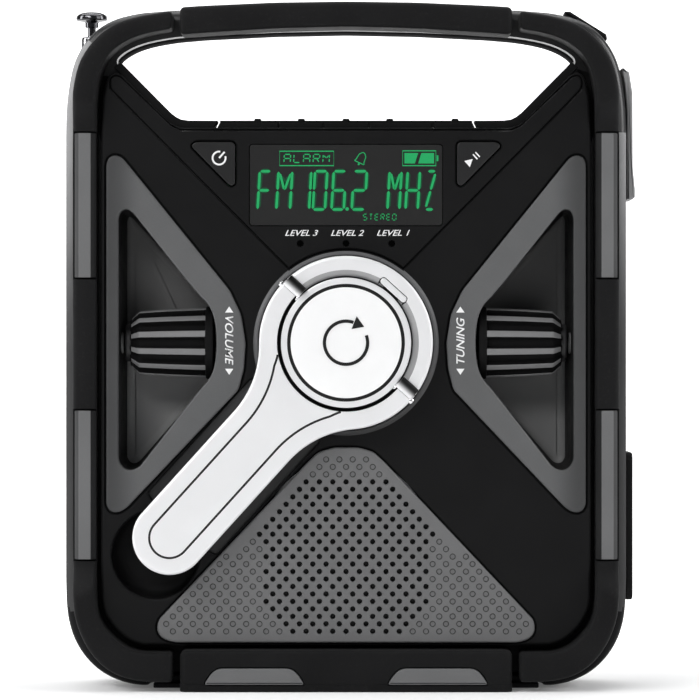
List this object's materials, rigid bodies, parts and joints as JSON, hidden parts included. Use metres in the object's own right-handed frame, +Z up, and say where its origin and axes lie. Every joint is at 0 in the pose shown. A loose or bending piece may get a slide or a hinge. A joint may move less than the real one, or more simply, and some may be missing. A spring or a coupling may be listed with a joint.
{
  "type": "emergency radio",
  "caption": "Rugged hand-crank emergency radio with a bumper frame, carry handle, side-axis knobs in wells, lit display, fold-out crank and telescopic antenna",
  "frame": {"origin": "on the flat underside, on the casing's centre line, 4 mm behind the parting plane of its two shells", "axes": "+X to the right seen from the front, the front faces -Y, +Z up"},
  "size_m": [0.1598, 0.0581, 0.1916],
  "materials": {
    "black_plastic": "satin",
    "dark_plastic": "satin",
    "bumper_rubber": "satin",
    "grey_rubber": "matte",
    "grey_plastic": "matte",
    "silver": "satin",
    "chrome": "polished",
    "white_plastic": "gloss",
    "screen": "gloss",
    "lcd": "matte",
    "board": "satin",
    "clear_plastic": "gloss",
    "nylon": "satin",
    "steel": "satin",
    "brass": "satin",
    "paper_cone": "matte",
    "solar_cell": "gloss"
  },
  "bodies": {
    "casing": {"front_housing": "black_plastic", "rear_housing": "black_plastic", "base_pad": "bumper_rubber", "left_bumper": "bumper_rubber", "left_upper_insert": "grey_rubber", "left_lower_insert": "grey_rubber", "right_bumper": "bumper_rubber", "right_upper_insert": "grey_rubber", "right_lower_insert": "grey_rubber", "handle_grip": "bumper_rubber", "bottom_bumper": "bumper_rubber", "left_foot_insert": "grey_rubber", "right_foot_insert": "grey_rubber", "display_panel": "black_plastic", "display_window": "screen", "lcd_module": "lcd", "main_board": "board", "indicator_light_pipe": "clear_plastic", "speaker_grille": "grey_plastic", "speaker_basket": "steel", "volume_bezel": "grey_plastic", "tuning_bezel": "grey_plastic", "volume_potentiometer": "steel", "tuning_encoder": "steel", "generator": "steel", "gear_plate": "steel", "battery_pack": "dark_plastic", "solar_panel": "solar_cell", "usb_sockets": "steel", "headphone_socket": "black_plastic", "charging_socket": "black_plastic"},
    "speaker_cone": {"speaker_cone": "paper_cone"},
    "crank": {"crank_rotor": "silver", "arm_rest_pad": "bumper_rubber", "crank_cap": "white_plastic", "lower_hinge_barrel": "chrome", "upper_hinge_barrel": "chrome", "drive_gear": "nylon"},
    "arm": {"crank_arm": "silver"},
    "peg": {"crank_peg": "chrome"},
    "grip": {"crank_grip": "dark_plastic"},
    "idler": {"idler_gear": "nylon"},
    "generator_rotor": {"generator_pinion": "brass"},
    "volume": {"volume_knob": "dark_plastic"},
    "tuning": {"tuning_knob": "dark_plastic"},
    "power": {"power_button": "dark_plastic"},
    "play": {"play_button": "dark_plastic"},
    "band": {"band_key": "bumper_rubber"},
    "alert": {"alert_key": "bumper_rubber"},
    "memory": {"memory_key": "bumper_rubber"},
    "clock": {"clock_key": "bumper_rubber"},
    "beacon": {"beacon_key": "bumper_rubber"},
    "lamp": {"lamp_key": "bumper_rubber"},
    "door": {"battery_door": "black_plastic"},
    "upper_cover": {"upper_port_cover": "grey_rubber"},
    "lower_cover": {"lower_port_cover": "bumper_rubber"},
    "swivel": {"antenna_swivel": "chrome"},
    "antenna_lower": {"antenna_lower_tube": "chrome"},
    "antenna_middle": {"antenna_middle_tube": "chrome"},
    "antenna_end": {"antenna_tip": "chrome"}
  },
  "joints": [
    {"name": "crank_spin", "type": "hinge", "parent": "casing", "child": "crank", "pos_m": [0, -0.02, 0.0967], "axis": [0, -1, 0], "continuous": true},
    {"name": "arm_fold", "type": "hinge", "parent": "crank", "child": "arm", "pos_m": [0.00134, -0.02995, 0.09818], "axis": [-0.7414, 0, 0.6711], "range_deg": [0, 180]},
    {"name": "peg_fold", "type": "hinge", "parent": "arm", "child": "peg", "pos_m": [-0.04966, -0.0249, 0.04184], "axis": [-0.7414, 0, 0.6711], "range_deg": [0, 90]},
    {"name": "grip_spin", "type": "hinge", "parent": "peg", "child": "grip", "pos_m": [-0.04966, -0.0249, 0.04184], "axis": [0.6711, 0, 0.7414], "continuous": true},
    {"name": "idler_spin", "type": "hinge", "parent": "casing", "child": "idler", "pos_m": [-0.014, 0.005, 0.07721], "axis": [0, -1, 0], "continuous": true},
    {"name": "generator_spin", "type": "hinge", "parent": "casing", "child": "generator_rotor", "pos_m": [0.004, 0.007, 0.06639], "axis": [0, -1, 0], "continuous": true},
    {"name": "volume_turn", "type": "hinge", "parent": "casing", "child": "volume", "pos_m": [-0.045, -0.01, 0.0967], "axis": [1, 0, 0], "range_deg": [-150, 150]},
    {"name": "tuning_turn", "type": "hinge", "parent": "casing", "child": "tuning", "pos_m": [0.045, -0.01, 0.0967], "axis": [1, 0, 0], "continuous": true},
    {"name": "power_press", "type": "slide", "parent": "casing", "child": "power", "axis": [0, 1, 0], "range_m": [0, 0.0008], "stiffness_N_per_m": 900},
    {"name": "play_press", "type": "slide", "parent": "casing", "child": "play", "axis": [0, 1, 0], "range_m": [0, 0.0008], "stiffness_N_per_m": 900},
    {"name": "band_press", "type": "slide", "parent": "casing", "child": "band", "axis": [0, 0, -1], "range_m": [0, 0.0008], "stiffness_N_per_m": 900},
    {"name": "alert_press", "type": "slide", "parent": "casing", "child": "alert", "axis": [0, 0, -1], "range_m": [0, 0.0008], "stiffness_N_per_m": 900},
    {"name": "memory_press", "type": "slide", "parent": "casing", "child": "memory", "axis": [0, 0, -1], "range_m": [0, 0.0008], "stiffness_N_per_m": 900},
    {"name": "clock_press", "type": "slide", "parent": "casing", "child": "clock", "axis": [0, 0, -1], "range_m": [0, 0.0008], "stiffness_N_per_m": 900},
    {"name": "beacon_press", "type": "slide", "parent": "casing", "child": "beacon", "axis": [0, 0, -1], "range_m": [0, 0.0008], "stiffness_N_per_m": 900},
    {"name": "lamp_press", "type": "slide", "parent": "casing", "child": "lamp", "axis": [-0.5369, 0, -0.8437], "range_m": [0, 0.0006], "stiffness_N_per_m": 900},
    {"name": "cone_travel", "type": "slide", "parent": "casing", "child": "speaker_cone", "axis": [0, 1, 0], "range_m": [-0.0004, 0.0004], "stiffness_N_per_m": 1500},
    {"name": "battery_door_open", "type": "hinge", "parent": "casing", "child": "door", "pos_m": [0, 0.026, 0.0086], "axis": [-1, 0, 0], "range_deg": [0, 88]},
    {"name": "upper_cover_open", "type": "hinge", "parent": "casing", "child": "upper_cover", "pos_m": [0.0792, 0.004, 0.1728], "axis": [0, -1, 0], "range_deg": [0, 110]},
    {"name": "lower_cover_open", "type": "hinge", "parent": "casing", "child": "lower_cover", "pos_m": [0.0802, 0.0136, 0.045], "axis": [0, 0, 1], "range_deg": [0, 110]},
    {"name": "antenna_swing", "type": "hinge", "parent": "casing", "child": "swivel", "pos_m": [-0.073, 0.018, 0.052], "axis": [0, -1, 0], "range_deg": [0, 90]},
    {"name": "antenna_tilt", "type": "hinge", "parent": "swivel", "child": "antenna_lower", "pos_m": [-0.073, 0.0214, 0.052], "axis": [-1, 0, 0], "range_deg": [0, 90]},
    {"name": "antenna_middle_slide", "type": "slide", "parent": "antenna_lower", "child": "antenna_middle", "axis": [0, 0, 1], "range_m": [0, 0.105]},
    {"name": "antenna_tip_slide", "type": "slide", "parent": "antenna_middle", "child": "antenna_end", "axis": [0, 0, 1], "range_m": [0, 0.105]}
  ],
  "couplings": [
    {"joint": "peg_fold", "follows": "arm_fold", "ratio": 0.5},
    {"joint": "idler_spin", "follows": "crank_spin", "ratio": -3},
    {"joint": "generator_spin", "follows": "crank_spin", "ratio": 9.6}
  ]
}
